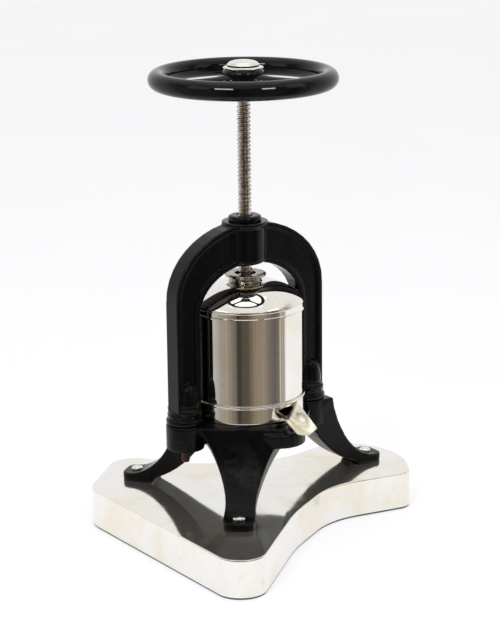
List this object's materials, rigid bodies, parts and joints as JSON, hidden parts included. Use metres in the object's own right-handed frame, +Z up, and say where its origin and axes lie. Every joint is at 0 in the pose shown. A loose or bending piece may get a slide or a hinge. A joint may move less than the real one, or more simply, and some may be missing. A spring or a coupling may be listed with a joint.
{
  "type": "duck press",
  "caption": "Table-top screw press: a plated vessel with a domed lid and a spouted pan under an iron yoke with a handwheel, on a shaped plinth.",
  "frame": {"origin": "on the screw's axis, at the underside of the baize pad the press stands on", "axes": "+Z up along the screw, +X along the yoke towards the foot with a single leg, spout towards -Y"},
  "size_m": [0.3624, 0.3599, 0.538],
  "materials": {
    "silver_plate": "polished silver plate",
    "polished_nickel": "polished",
    "black_iron": "gloss black paint over cast iron",
    "rough_iron": "black paint over rough cast iron",
    "gloss_black_iron": "high gloss black enamel",
    "screw_steel": "turned steel",
    "plain_steel": "plain steel",
    "rusty_steel": "rusted steel",
    "bronze": "turned bronze",
    "core_wood": "plain wood",
    "green_baize": "dark green baize"
  },
  "bodies": {
    "frame": {"plinth_shell": "silver_plate", "plinth_core": "core_wood", "baize_pad": "green_baize", "stand": "rough_iron", "yoke": "black_iron", "screw_nut": "bronze", "boss_collar": "black_iron", "nut_lock_screw": "plain_steel", "post_stud_left": "rusty_steel", "post_stud_right": "rusty_steel", "pan": "silver_plate", "vessel_body": "silver_plate", "strainer_basket": "silver_plate", "foot_bolt_right": "polished_nickel", "foot_washer_right": "plain_steel", "foot_nut_right": "plain_steel", "foot_bolt_front": "polished_nickel", "foot_washer_front": "plain_steel", "foot_nut_front": "plain_steel", "foot_bolt_back": "polished_nickel", "foot_washer_back": "plain_steel", "foot_nut_back": "plain_steel"},
    "lid": {"lid": "silver_plate", "lid_collar": "silver_plate"},
    "presser": {"presser_plate": "silver_plate", "thrust_washer": "bronze"},
    "screw": {"press_screw": "screw_steel", "spigot_washer": "plain_steel", "spigot_screw": "plain_steel", "handwheel": "gloss_black_iron", "hub_key": "plain_steel", "cap_washer": "polished_nickel", "cap_nut": "polished_nickel"}
  },
  "joints": [
    {"name": "press_travel", "type": "slide", "parent": "frame", "child": "presser", "axis": [0, 0, 1], "range_m": [-0.085, 0]},
    {"name": "screw_turn", "type": "hinge", "parent": "presser", "child": "screw", "pos_m": [0, 0, 0.278], "axis": [0, 0, 1], "range_deg": [-6802, 0]},
    {"name": "lid_lift", "type": "slide", "parent": "frame", "child": "lid", "axis": [0, 0, 1], "range_m": [0, 0.009]}
  ],
  "couplings": [
    {"joint": "screw_turn", "follows": "press_travel", "rad_per_m": 1396.3}
  ]
}
